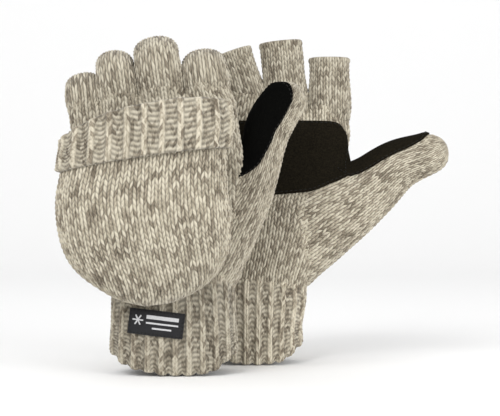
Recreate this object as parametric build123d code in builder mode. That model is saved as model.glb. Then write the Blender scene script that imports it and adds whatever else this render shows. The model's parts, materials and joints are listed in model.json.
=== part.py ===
"""A pair of convertible flip-top mittens: half-finger knit gloves, each with a mitten cap on the back.

Each glove stands on its wrist cuff.  Canonical glove frame: +Z up, the back of the hand faces -Y, the
palm +Y and the thumb +X.  The hand rises from the wrist point with a small sideways lean.  The left
glove is made in this frame, the right glove is the same build with its own pose, mirrored in Y, so it
shows its palm towards -Y.  The pair is then moved so that the origin is at its base centre.
"""
import os
from math import cos, radians, sin

from build123d import *

os.makedirs("parts", exist_ok=True)

# ---------------------------------------------------------------- driving sizes, millimetres
KNIT = 2.0  # thickness of the outer knit
WADDING = 1.2  # thickness of the insulating layer
LINING = 0.8  # thickness of the inner fabric
SUEDE = 1.0  # thickness of the palm and thumb patches
THREAD = 0.5  # height of a sewn thread above what it holds
GAP = 0.3  # clearance between pieces that move past each other
CORNER_SHARE = 0.46  # corner radius of a section, as a share of its smaller side
REACH = 200.0  # longer than any piece, for blocks that cut right through one
PAST = 1.0  # how far a cut runs past the faces it goes through

WRIST_Z = 56.0  # height of the wrist plane, where the ribbed cuff ends
CUFF_CORNER = 14.0  # radius of the cuff's lower corners, seen from the back
CUFF_WIDTH = 79.5  # between those corners' outer sides
BACK_Y = -15.0  # plane of the back of the hand

# (height, width, back y, palm y) of the ribbed cuff below the wrist plane
CUFF_SECTIONS = [(0, 79, -20, 27), (22, 78, -19, 26), (42, 78, -15.2, 24.5)]
# (distance above the wrist along the hand, width, back y, palm y)
HAND_SECTIONS = [
    (0, 79, BACK_Y, 22.5),
    (26, 88, BACK_Y, 23.0),
    (56, 98, BACK_Y, 19.0),
    (84, 103, BACK_Y, 15.0),
    (107, 104, BACK_Y, 12.5),
    (126, 104.5, -13.0, 10.5),
]
WEB = HAND_SECTIONS[-1][0]  # where the palm ends and the four finger tubes begin

HINGE_UP = 107.0  # the cap's seam across the knuckles, above the wrist
CAP_WALL = KNIT + WADDING + LINING
HINGE_Y = BACK_Y - GAP - CAP_WALL / 2  # mid-thickness of the cap's back panel
SEAM_R = CAP_WALL / 2 - 0.2  # the overlocked seam is a round ridge on the hinge line
SEAM_FOOT = 1.0  # how far the strip under the ridge runs on into the back of the hand
SEAM_HALF = 46.0  # half the seam's length

# (distance from the seam, centre x, width, inner v, outer v): v is measured out from the hinge plane
CAP_SECTIONS = [
    (0, -0.5, 106, -2.0, 34.0),
    (20, -1.5, 109, -2.0, 36.5),
    (45, -6.5, 109, -2.0, 38.0),
    (66, -9.5, 107, -2.0, 37.5),
    (84, -10.5, 103, -1.6, 34.0),
    (95, -10.0, 96, -0.8, 29.5),
    (104, -10.0, 80, 0.2, 24.5),
    (111, -10.0, 63, 1.2, 20.0),
    (117, -10.0, 43, 2.4, 15.5),
    (120, -10.0, 24, 3.2, 12.5),
]
CAP_LENGTH = CAP_SECTIONS[-1][0]
MOUTH_DEEP = 60.0  # the mouth side of the cap, which stretches over the fingertips
BAND_DEEP = 30.0  # the turned-back rib band
BAND_THICK = 2.4

PALM_PATCH = (94.0, 50.0)  # width and height
PALM_PATCH_CORNER = 9.0
PALM_PATCH_AT = (6.0, 86.0)  # its centre: towards the thumb, and above the wrist
SEW_IN = 2.0  # a row of stitches lies this far inside the palm patch's edge

LABEL_W, LABEL_H = 34.0, 16.0
LABEL_SEW_IN = 1.0  # and this far inside the label's edge
LABEL_AT = (-8.0, 31.0)  # x and height of the label's centre on the cuff's back
LABEL_TILT = 6.0  # degrees that its thumb-side end hangs down

FINGERS = ["pinky", "ring", "middle", "index"]
FINGER_WIDTH = {"pinky": 21.5, "ring": 24.8, "middle": 28.6, "index": 28.0}
FINGER_DEPTH = {"pinky": 18.5, "ring": 20.5, "middle": 21.5, "index": 21.0}
FINGER_X = {"pinky": -41.0, "ring": -17.6, "middle": 9.4, "index": 38.0}
FINGER_Y = -1.2  # centre of the finger tubes at the web
TUBE = KNIT  # wall of the finger tubes, which are a single knit layer

# How each glove is posed.  lean: sideways tilt of the hand in degrees, positive towards the thumb.
# finger: (sideways lean in the hand, straight rise, curl radius, curl in degrees, length after it)
# thumb: (x, y, height, width, depth) of the tube's sections in the glove frame, base first
# thumb_patch: (section at its middle, turn about the thumb, place along it, length, width)
POSES = {
    "left": {
        "lean": -7.5,
        "fingers": {
            "pinky": (-1.0, 1.0, 9.8, 68, 1.0),
            "ring": (-1.0, 6.0, 11.0, 74, 2.0),
            "middle": (-1.0, 12.0, 13.0, 72, 2.0),
            "index": (-1.5, 3.0, 11.5, 74, 2.0),
        },
        "thumb": [
            (22, 3, 74, 50, 30),
            (36, 4, 96, 42, 29),
            (48, 7, 117, 32, 27),
            (57, 11, 138, 28, 25),
            (66, 14, 158, 26, 23),
            (75, 16, 173, 23, 20),
            (80, 17, 180.5, 16, 14),
            (82.5, 17.5, 184.5, 8, 7),
        ],
        "thumb_patch": (4, 30, -4, 66, 21),
    },
    "right": {
        "lean": 8.5,
        "fingers": {
            "pinky": (-27.0, 14.0, 0, 0, 0),
            "ring": (-19.0, 30.0, 0, 0, 0),
            "middle": (-12.0, 40.0, 0, 0, 0),
            "index": (-8.5, 33.0, 0, 0, 0),
        },
        "thumb": [
            (12, 3, 72, 58, 30),
            (36, 4, 86, 56, 30),
            (58, 7, 101, 51, 29),
            (80, 9, 117, 43, 27),
            (102, 11, 133, 35, 25),
            (122, 13, 145, 28, 22),
            (131, 14, 150, 19, 16),
            (135, 14.5, 152, 9, 8),
        ],
        "thumb_patch": (4, -35, -2, 66, 22),
    },
}
STAND_APART = (48.0, 66.0)  # the right glove's cuff stands this far to the right of the left's, and behind

nodes = {}  # node name to finished shape, in the pair's layout frame


# ---------------------------------------------------------------- planes and section helpers
def hand_plane(lean, up, tilt=0.0):
    """A plane across the hand at that distance above the wrist, tilted in the hand's own plane."""
    a = radians(lean)
    centre = (up * sin(a), 0, WRIST_Z + up * cos(a))
    b = radians(lean - tilt)
    return Plane(origin=centre, x_dir=(cos(b), 0, -sin(b)), z_dir=(sin(b), 0, cos(b)))


def cap_plane(lean, u):
    """A plane across the flipped-back cap: x runs towards the thumb, y out from the back of the hand."""
    a = radians(lean)
    up = HINGE_UP - u
    centre = (up * sin(a), HINGE_Y, WRIST_Z + up * cos(a))
    return Plane(origin=centre, x_dir=(cos(a), 0, -sin(a)), z_dir=(-sin(a), 0, -cos(a)))


def rounded(width, low, high, inset, x=0.0):
    """One rounded section between two faces, drawn smaller by the inset on every side."""
    depth = high - low - 2 * inset
    across = width - 2 * inset
    corner = min(depth, across) * CORNER_SHARE
    with Locations((x, (low + high) / 2)):
        RectangleRounded(across, depth, corner)


def cuff_solid(lean, inset, base=0.0):
    """The cuff's solid form, from the floor to the wrist plane."""
    with BuildPart() as form:
        for height, width, back, palm in CUFF_SECTIONS:
            with BuildSketch(Plane.XY.offset(height if height else base)):
                rounded(width, back, palm, inset)
        with BuildSketch(hand_plane(lean, 0)):
            rounded(*HAND_SECTIONS[0][1:], inset)
        loft(ruled=True)
    return form.part


def hand_solid(lean, inset, top=0.0):
    """The palm's solid form, from the wrist to the web; top lowers its upper end."""
    with BuildPart() as form:
        for up, width, back, palm in HAND_SECTIONS:
            at = up - top if up == WEB else up
            with BuildSketch(hand_plane(lean, at)):
                rounded(width, back, palm, inset)
        loft(ruled=True)
    return form.part


def cap_solid(lean, inset):
    """The cap's solid form, from its mouth to its closed tip; the inset shortens the tip too."""
    tip = CAP_LENGTH - inset
    before = -1.0
    with BuildPart() as form:
        for u, x, width, low, high in CAP_SECTIONS:
            at = min(u, tip)
            if at > before:
                with BuildSketch(cap_plane(lean, at)):
                    rounded(width, low, high, inset, x)
            before = at
        loft(ruled=True)
    return form.part


def finger_stations(name, pose):
    """The planes that a finger tube's sections lie in, from the web to its open end."""
    lean = POSES[pose]["lean"]
    side, rise, radius, curl, rest = POSES[pose]["fingers"][name]
    a = radians(lean + side)
    base = hand_plane(lean, WEB).from_local_coords(Vector(FINGER_X[name], FINGER_Y, 0))
    axis = Vector(sin(a), 0, cos(a))
    palmward = Vector(0, 1, 0)
    across = Vector(cos(a), 0, -sin(a))
    stations = [hand_plane(lean, WEB)]
    stations[0].origin = base
    steps = [(rise * k / 2, 0.0) for k in (1, 2)]
    if curl:
        steps += [(rise, curl * k / 3) for k in (1, 2, 3)]
    for along, bend in steps:
        t = radians(bend)
        point = base + axis * (along + radius * sin(t)) + palmward * (radius * (1 - cos(t)))
        stations.append(Plane(origin=point, x_dir=across, z_dir=axis * cos(t) + palmward * sin(t)))
    if rest:
        last = stations[-1]
        point = last.origin + last.z_dir * rest
        stations.append(Plane(origin=point, x_dir=across, z_dir=last.z_dir))
    return stations


def finger_solid(name, pose, inset):
    """A finger tube's solid form."""
    with BuildPart() as form:
        for plane in finger_stations(name, pose):
            with BuildSketch(plane):
                Ellipse(FINGER_WIDTH[name] / 2 - inset, FINGER_DEPTH[name] / 2 - inset)
        loft(ruled=True)
    return form.part


def thumb_stations(pose):
    """The planes across the thumb tube; each faces along the line between its neighbours."""
    rows = POSES[pose]["thumb"]
    points = [Vector(x, y, z) for x, y, z, _, _ in rows]
    stations = []
    for k, point in enumerate(points):
        ahead = points[min(k + 1, len(points) - 1)]
        behind = points[max(k - 1, 0)]
        along = (ahead - behind).normalized()
        across = Vector(0, 1, 0).cross(along).normalized()
        stations.append(Plane(origin=point, x_dir=across, z_dir=along))
    return stations


def thumb_solid(pose, inset, end=0.0):
    """The thumb tube's solid form, from inside the palm to its closed tip."""
    stations = thumb_stations(pose)
    rows = POSES[pose]["thumb"]
    with BuildPart() as form:
        for k, (plane, row) in enumerate(zip(stations, rows)):
            last = k == len(rows) - 1
            with BuildSketch(plane.offset(-end) if last else plane):
                Ellipse(row[3] / 2 - inset, row[4] / 2 - inset)
        loft(ruled=True)
    return form.part


def slab(plane, width, height, start, end, corner=0.0, x=0.0, y=0.0):
    """A block that stands on a plane, with rounded corners, from start to end along its normal."""
    with BuildPart() as block:
        with BuildSketch(plane.offset(start)):
            with Locations((x, y)):
                if corner:
                    RectangleRounded(width, height, corner)
                else:
                    Rectangle(width, height)
        extrude(amount=end - start)
    return block.part


def keep(side, name, shape):
    """Labels a finished piece, mirrors the right glove's, and stands it in the pair's layout."""
    if side == "right":
        shape = mirror(shape, about=Plane.XZ)
        shape = Pos(STAND_APART[0], STAND_APART[1], 0) * shape
    shape.label = f"{side}_{name}"
    nodes[shape.label] = shape


# ---------------------------------------------------------------- one glove
def make_glove(side):
    pose = POSES[side]
    lean = pose["lean"]
    hand_out = hand_solid(lean, 0)
    hand_in = hand_solid(lean, KNIT, KNIT)
    wadding_in = hand_solid(lean, KNIT + WADDING, KNIT)
    lining_in = hand_solid(lean, CAP_WALL, KNIT)
    thumb_out = thumb_solid(side, 0)
    thumb_in = thumb_solid(side, KNIT, KNIT)
    web_plane = hand_plane(lean, WEB)

    # Ribbed wrist cuff: a sleeve whose lower corners are rounded off.
    sleeve = cuff_solid(lean, 0)
    with BuildPart() as wrist_cuff:
        add(sleeve)
        add(cuff_solid(lean, KNIT), mode=Mode.SUBTRACT)
        with BuildSketch(Plane.XZ.offset(-REACH / 2)):
            with Locations((0, REACH / 2)):
                RectangleRounded(CUFF_WIDTH, REACH, CUFF_CORNER)
        extrude(amount=REACH, mode=Mode.INTERSECT)
    keep(side, "wrist_cuff", wrist_cuff.part)

    # Palm and back: one seamless knit tube, closed at the web but for the four finger holes.
    with BuildPart() as hand_shell:
        add(hand_out)
        add(hand_in, mode=Mode.SUBTRACT)
        with BuildSketch(web_plane.offset(-KNIT - PAST)):
            for name in FINGERS:
                with Locations((FINGER_X[name], FINGER_Y)):
                    Ellipse(FINGER_WIDTH[name] / 2 - TUBE, FINGER_DEPTH[name] / 2 - TUBE)
        extrude(amount=KNIT + 2 * PAST, mode=Mode.SUBTRACT)
        add(thumb_in, mode=Mode.SUBTRACT)
    keep(side, "hand_shell", hand_shell.part)

    # Insulating layer and inner lining of the palm, nested inside the knit.
    with BuildPart() as hand_wadding:
        add(hand_in)
        add(wadding_in, mode=Mode.SUBTRACT)
        add(thumb_in, mode=Mode.SUBTRACT)
    keep(side, "hand_insulation", hand_wadding.part)
    with BuildPart() as hand_lining:
        add(wadding_in)
        add(lining_in, mode=Mode.SUBTRACT)
        add(thumb_in, mode=Mode.SUBTRACT)
    keep(side, "hand_lining", hand_lining.part)

    # Four half-finger tubes, open at both ends.
    for name in FINGERS:
        with BuildPart() as finger:
            add(finger_solid(name, side, 0))
            add(finger_solid(name, side, TUBE), mode=Mode.SUBTRACT)
        keep(side, f"{name}_finger", finger.part)

    # Thumb: a closed tube that grows out of the side of the palm.
    with BuildPart() as thumb:
        add(thumb_out)
        add(thumb_in, mode=Mode.SUBTRACT)
        add(hand_out, mode=Mode.SUBTRACT)
        add(sleeve, mode=Mode.SUBTRACT)
    keep(side, "thumb", thumb.part.solids().sort_by(SortBy.VOLUME)[-1])

    # Suede patch on the palm, with the row of stitches that holds it.
    shift, height = PALM_PATCH_AT
    width, tall = PALM_PATCH
    sewn = (width - 2 * SEW_IN, tall - 2 * SEW_IN, 0, REACH, PALM_PATCH_CORNER - SEW_IN)
    inside = (sewn[0] - 2 * THREAD, sewn[1] - 2 * THREAD, 0, REACH, sewn[4] - THREAD)
    palm_view = Plane(
        origin=hand_plane(lean, height).origin,
        x_dir=(-cos(radians(lean)), 0, sin(radians(lean))),
        z_dir=(0, 1, 0),
    )
    over_hand = hand_solid(lean, -SUEDE)
    over_thumb = thumb_solid(side, -SUEDE)
    with BuildPart() as palm_patch:
        add(over_hand)
        add(hand_out, mode=Mode.SUBTRACT)
        add(slab(palm_view, width, tall, 0, REACH, PALM_PATCH_CORNER, x=-shift), mode=Mode.INTERSECT)
        add(thumb_out, mode=Mode.SUBTRACT)
    keep(side, "palm_patch", palm_patch.part.solids().sort_by(SortBy.VOLUME)[-1])
    with BuildPart() as palm_stitching:
        add(hand_solid(lean, -SUEDE - THREAD))
        add(over_hand, mode=Mode.SUBTRACT)
        add(slab(palm_view, *sewn, x=-shift), mode=Mode.INTERSECT)
        add(slab(palm_view, *inside, x=-shift), mode=Mode.SUBTRACT)
        add(over_thumb, mode=Mode.SUBTRACT)
    keep(side, "palm_patch_stitching", palm_stitching.part)

    # Suede patch along the thumb, on the side that meets the forefinger.
    station, turn, along, long, wide = pose["thumb_patch"]
    middle = thumb_stations(side)[station]
    turned = middle.rotated((0, 0, turn))
    thumb_view = Plane(origin=middle.origin, x_dir=turned.y_dir, z_dir=-turned.x_dir)
    with BuildPart() as thumb_patch:
        add(over_thumb)
        add(thumb_out, mode=Mode.SUBTRACT)
        add(slab(thumb_view, wide, long, 0, REACH, CORNER_SHARE * wide, y=along), mode=Mode.INTERSECT)
        add(hand_solid(lean, -SUEDE - THREAD), mode=Mode.SUBTRACT)
    keep(side, "thumb_patch", thumb_patch.part.solids().sort_by(SortBy.VOLUME)[-1])

    # Seam of the cap: a round overlocked ridge on the hinge line, on a strip sewn to the back.
    hinge = cap_plane(lean, 0)
    with BuildPart() as cap_seam:
        with BuildSketch(Plane(origin=hinge.from_local_coords(Vector(-SEAM_HALF, 0, 0)),
                               x_dir=hinge.y_dir, z_dir=hinge.x_dir)):
            Circle(SEAM_R)
            with Locations((-(SEAM_R + SEAM_FOOT) / 2, 0)):
                Rectangle(SEAM_R + SEAM_FOOT, 2 * SEAM_R - SEAM_FOOT)
        extrude(amount=2 * SEAM_HALF)
        add(hand_out, mode=Mode.SUBTRACT)
    keep(side, "cap_seam", cap_seam.part)

    # The cap: knit shell, insulation and lining, nested; the stretching mouth side is its own piece.
    cap_out = cap_solid(lean, 0)
    cap_knit_in = cap_solid(lean, KNIT)
    cap_wadding_in = cap_solid(lean, KNIT + WADDING)
    cap_lining_in = cap_solid(lean, CAP_WALL)
    outward = (REACH + CAP_WALL) / 2
    mouth_block = slab(hinge, REACH, REACH, -REACH, MOUTH_DEEP, y=outward)
    band_block = slab(hinge, REACH, REACH, -REACH, BAND_DEEP, y=outward)
    free_edge = slab(hinge, REACH, REACH, -REACH, SEAM_R + GAP)
    for name, outer, inner in (
        ("cap_shell", cap_out, cap_knit_in),
        ("cap_insulation", cap_knit_in, cap_wadding_in),
        ("cap_lining", cap_wadding_in, cap_lining_in),
    ):
        with BuildPart() as layer:
            add(outer)
            add(inner, mode=Mode.SUBTRACT)
            add(mouth_block, mode=Mode.SUBTRACT)
            add(free_edge, mode=Mode.SUBTRACT)
        keep(side, name, layer.part)
    with BuildPart() as cap_mouth:
        add(cap_out)
        add(cap_knit_in, mode=Mode.SUBTRACT)
        add(mouth_block, mode=Mode.INTERSECT)
    keep(side, "cap_mouth_panel", cap_mouth.part)
    with BuildPart() as cap_band:
        add(cap_solid(lean, -BAND_THICK))
        add(cap_out, mode=Mode.SUBTRACT)
        add(band_block, mode=Mode.INTERSECT)
    keep(side, "cap_rib_band", cap_band.part)

    # Woven label sewn on the back of the cuff, with its stitches.
    down = radians(LABEL_TILT)
    label_x = (cos(down), 0, -sin(down))
    label_view = Plane(origin=(LABEL_AT[0], 0, LABEL_AT[1]), x_dir=label_x, z_dir=(0, -1, 0))
    sewn_w, sewn_h = LABEL_W - 2 * LABEL_SEW_IN, LABEL_H - 2 * LABEL_SEW_IN
    over_cuff = cuff_solid(lean, -SUEDE)
    with BuildPart() as label:
        add(over_cuff)
        add(sleeve, mode=Mode.SUBTRACT)
        add(slab(label_view, LABEL_W, LABEL_H, 0, REACH), mode=Mode.INTERSECT)
    keep(side, "label", label.part)
    with BuildPart() as label_stitching:
        add(cuff_solid(lean, -SUEDE - THREAD))
        add(over_cuff, mode=Mode.SUBTRACT)
        add(slab(label_view, sewn_w, sewn_h, 0, REACH), mode=Mode.INTERSECT)
        add(slab(label_view, sewn_w - 2 * THREAD, sewn_h - 2 * THREAD, 0, REACH), mode=Mode.SUBTRACT)
    keep(side, "label_stitching", label_stitching.part)


for side in POSES:
    make_glove(side)

# ---------------------------------------------------------------- stand the pair on its origin
boxes = [shape.bounding_box() for shape in nodes.values()]
low = [min(tuple(box.min)[k] for box in boxes) for k in range(3)]
high = [max(tuple(box.max)[k] for box in boxes) for k in range(3)]
to_origin = Pos(-(low[0] + high[0]) / 2, -(low[1] + high[1]) / 2, -low[2])
print("moved by", to_origin.position, "size", [round(high[k] - low[k], 2) for k in range(3)])
for label, shape in nodes.items():
    placed = to_origin * shape
    placed.label = label
    export_step(placed, f"parts/{label}.step")
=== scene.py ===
import json
from math import cos, pi, radians, sin

import bpy
import numpy as np
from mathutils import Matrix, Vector
from mathutils.bvhtree import BVHTree


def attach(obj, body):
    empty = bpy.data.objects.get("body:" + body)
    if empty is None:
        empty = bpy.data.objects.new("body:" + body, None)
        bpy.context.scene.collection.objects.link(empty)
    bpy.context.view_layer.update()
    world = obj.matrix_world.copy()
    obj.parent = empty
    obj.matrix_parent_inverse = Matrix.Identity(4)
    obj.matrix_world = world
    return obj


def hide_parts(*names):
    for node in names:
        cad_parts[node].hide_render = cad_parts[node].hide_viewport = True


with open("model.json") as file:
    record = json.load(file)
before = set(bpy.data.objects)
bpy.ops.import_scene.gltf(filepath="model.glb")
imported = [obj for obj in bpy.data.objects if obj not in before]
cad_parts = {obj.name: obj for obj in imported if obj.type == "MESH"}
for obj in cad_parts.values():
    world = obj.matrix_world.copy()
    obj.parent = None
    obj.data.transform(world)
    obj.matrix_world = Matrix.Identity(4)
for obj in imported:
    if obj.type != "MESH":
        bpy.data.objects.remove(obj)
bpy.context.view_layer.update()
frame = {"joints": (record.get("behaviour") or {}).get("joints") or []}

MM = 0.001

# ------------------------------------------------------------------------------------ the two gloves' frames
# Both gloves are shaped in one glove frame: z up from the cuff's lower edge, the palm towards +y, the thumb
# towards +x, in millimetres.  The left glove is set down as it is, the right one is mirrored in y.  Where
# each stands, and how far its hand leans, come from its cap's hinge in the frame.
HINGE_UP = 107.0  # the cap's seam above the wrist
HINGE_Y = -17.3  # the middle of the cap's back panel in the glove frame
WRIST_Z = 56.0

gloves = {}
for joint in frame["joints"]:
    if joint["type"] == "hinge":
        side = joint["child"].split("_")[0]
        turn = 1 if side == "left" else -1
        across = -np.array(joint["axis"]) * turn
        lean = -np.arcsin(across[2])
        pin = np.array(joint["pos_m"]) / MM
        start = pin - [HINGE_UP * sin(lean), turn * HINGE_Y, WRIST_Z + HINGE_UP * cos(lean)]
        gloves[side] = {"turn": turn, "lean": lean, "start": start}


def set_down(side, points):
    """Points of the glove frame, in millimetres, as points of the shared frame, in metres."""
    glove = gloves[side]
    return (np.asarray(points) * [1, glove["turn"], 1] + glove["start"]) * MM


# ------------------------------------------------------------------------------------ curves and grids
def smooth(at, knots, values):
    """The smooth curve through the values at the knots, read at each place in at."""
    knots = np.asarray(knots, float)
    values = np.asarray(values, float)
    slopes = np.gradient(values, knots, axis=0)
    k = np.clip(np.searchsorted(knots, at, side="right") - 1, 0, len(knots) - 2)
    span = knots[k + 1] - knots[k]
    t = np.clip((at - knots[k]) / span, 0, 1)
    if values.ndim > 1:
        span, t = span[:, None], t[:, None]
    rise = (3 - 2 * t) * t * t
    return (
        values[k] * (1 - rise)
        + values[k + 1] * rise
        + span * t * (1 - t) * ((1 - t) * slopes[k] - t * slopes[k + 1])
    )


def ease(low, high, at):
    """0 below low, 1 above high, and an even turn between them."""
    t = np.clip((at - low) / (high - low), 0, 1)
    return t * t * (3 - 2 * t)


def sections(half_width, low, high, power, columns):
    """One rounded outline per row, between y = low and y = high, with its points evenly spaced."""
    angle = np.linspace(0, 2 * pi, 361)
    c, s = np.cos(angle), np.sin(angle)
    x = np.sign(c) * np.abs(c) ** (2 / power)
    y = np.sign(s) * np.abs(s) ** (2 / power)
    out = np.empty((len(half_width), columns, 2))
    for row in range(len(half_width)):
        xs = x * half_width[row]
        ys = (low[row] + high[row]) / 2 + y * (high[row] - low[row]) / 2
        length = np.concatenate([[0], np.cumsum(np.hypot(np.diff(xs), np.diff(ys)))])
        even = np.linspace(0, length[-1], columns, endpoint=False)
        out[row] = np.stack([np.interp(even, length, xs), np.interp(even, length, ys)], 1)
    return out


def sweep(outline, centre, across, deep):
    """The outlines set on their rows' centres, along each row's two directions."""
    return centre[:, None] + outline[..., :1] * across[:, None] + outline[..., 1:] * deep[:, None]


def normals(points):
    """The outward direction at each point of a grid that is closed around its columns."""
    around = np.roll(points, -1, 1) - np.roll(points, 1, 1)
    along = np.gradient(points, axis=0)
    n = np.cross(around, along)
    return n / np.maximum(np.linalg.norm(n, axis=2, keepdims=True), 1e-9)


def add_mesh(name, side, points, uv, relief, material, wrap=True, pole=False):
    """A mesh from a grid of points: wrap joins the last column to the first, pole closes the last row."""
    rows, columns = points.shape[:2]
    wales, courses = uv
    courses = courses if courses.ndim == 2 else courses[:, None] + np.zeros(columns)
    uv = (wales, courses)
    r = np.arange(rows - 1)[:, None]
    c = np.arange(columns if wrap else columns - 1)[None, :]
    following = (c + 1) % columns
    corners = [(r, c, c), (r, following, c + 1), (r + 1, following, c + 1), (r + 1, c, c)]
    if gloves[side]["turn"] < 0:
        corners.reverse()
    faces = np.stack([row * columns + column for row, column, _ in corners], -1).reshape(-1, 4)
    flat = np.stack([uv_at(uv, row, column, columns) for row, _, column in corners], 2).reshape(-1, 2)
    co = set_down(side, points.reshape(-1, 3))
    loops, sizes = faces.reshape(-1), np.full(len(faces), 4)
    tone = relief.reshape(-1)
    if pole:
        last = (rows - 1) * columns
        tip = len(co)
        co = np.vstack([co, co[last:].mean(0)])
        tone = np.append(tone, tone[last:].mean())
        k = np.arange(columns)
        fan = np.stack([last + k, last + (k + 1) % columns, np.full(columns, tip)], 1)
        fan_uv = np.stack([uv_at(uv, rows - 1, k, columns), uv_at(uv, rows - 1, k + 1, columns),
                           uv_at(uv, rows - 1, k + 0.5, columns)], 1)
        if gloves[side]["turn"] < 0:
            fan, fan_uv = fan[:, ::-1], fan_uv[:, ::-1]
        loops = np.concatenate([loops, fan.reshape(-1)])
        sizes = np.concatenate([sizes, np.full(columns, 3)])
        flat = np.vstack([flat, fan_uv.reshape(-1, 2)])
    mesh = bpy.data.meshes.new(name)
    mesh.vertices.add(len(co))
    mesh.vertices.foreach_set("co", co.astype(np.float32).reshape(-1))
    mesh.loops.add(len(loops))
    mesh.loops.foreach_set("vertex_index", loops.astype(np.int32))
    mesh.polygons.add(len(sizes))
    mesh.polygons.foreach_set("loop_start", np.concatenate([[0], np.cumsum(sizes)[:-1]]).astype(np.int32))
    mesh.update(calc_edges=True)
    mesh.polygons.foreach_set("use_smooth", np.ones(len(sizes), bool))
    mesh.uv_layers.new(name="UVMap").data.foreach_set("uv", flat.astype(np.float32).reshape(-1))
    mesh.attributes.new("relief", "FLOAT", "POINT").data.foreach_set("value", tone.astype(np.float32))
    mesh.validate()
    piece = bpy.data.objects.new(name, mesh)
    bpy.context.collection.objects.link(piece)
    mesh.materials.append(material)
    return piece


def uv_at(uv, row, column, columns):
    """Stitch coordinates of a grid place: uv is (wales around, course of each row)."""
    wales, courses = uv
    column = np.asarray(column)
    nearest = np.floor(column).astype(int) % columns
    u, v = np.broadcast_arrays(column * wales / columns, courses[row, nearest])
    return np.stack([u, v], -1)


# ------------------------------------------------------------------------------------ wool, suede, cloth
# Ragg wool is a thick yarn of pale and brown-grey plies, so every leg of a stitch has its own tone, with
# streaks along it.  The suede is near black and dull, the label is a smooth black weave.
SPLAY = 1.7  # how far, in courses, a leg of a stitch climbs for each wale it moves sideways
WOOL_TONES = [  # the yarn's plies from brown-grey to pale: place on the ramp, and colour
    (0.34, (0.12, 0.097, 0.069)),
    (0.48, (0.255, 0.217, 0.162)),
    (0.60, (0.42, 0.374, 0.286)),
    (0.76, (0.60, 0.547, 0.434)),
]


def nodes_of(material):
    """A material's node tree and its surface node."""
    material.use_nodes = True
    tree = material.node_tree
    return tree, tree.nodes["Principled BSDF"]


def calculate(tree, operation, a, b=None):
    """A math node's output, from sockets or numbers."""
    node = tree.nodes.new("ShaderNodeMath")
    node.operation = operation
    for socket, value in zip(node.inputs, (a, b)):
        if isinstance(value, (int, float)):
            socket.default_value = value
        elif value is not None:
            tree.links.new(value, socket)
    return node.outputs[0]


def combine(tree, x, y, z):
    """A vector of three sockets or numbers."""
    node = tree.nodes.new("ShaderNodeCombineXYZ")
    for socket, value in zip(node.inputs, (x, y, z)):
        if isinstance(value, (int, float)):
            socket.default_value = value
        else:
            tree.links.new(value, socket)
    return node.outputs[0]


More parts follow.
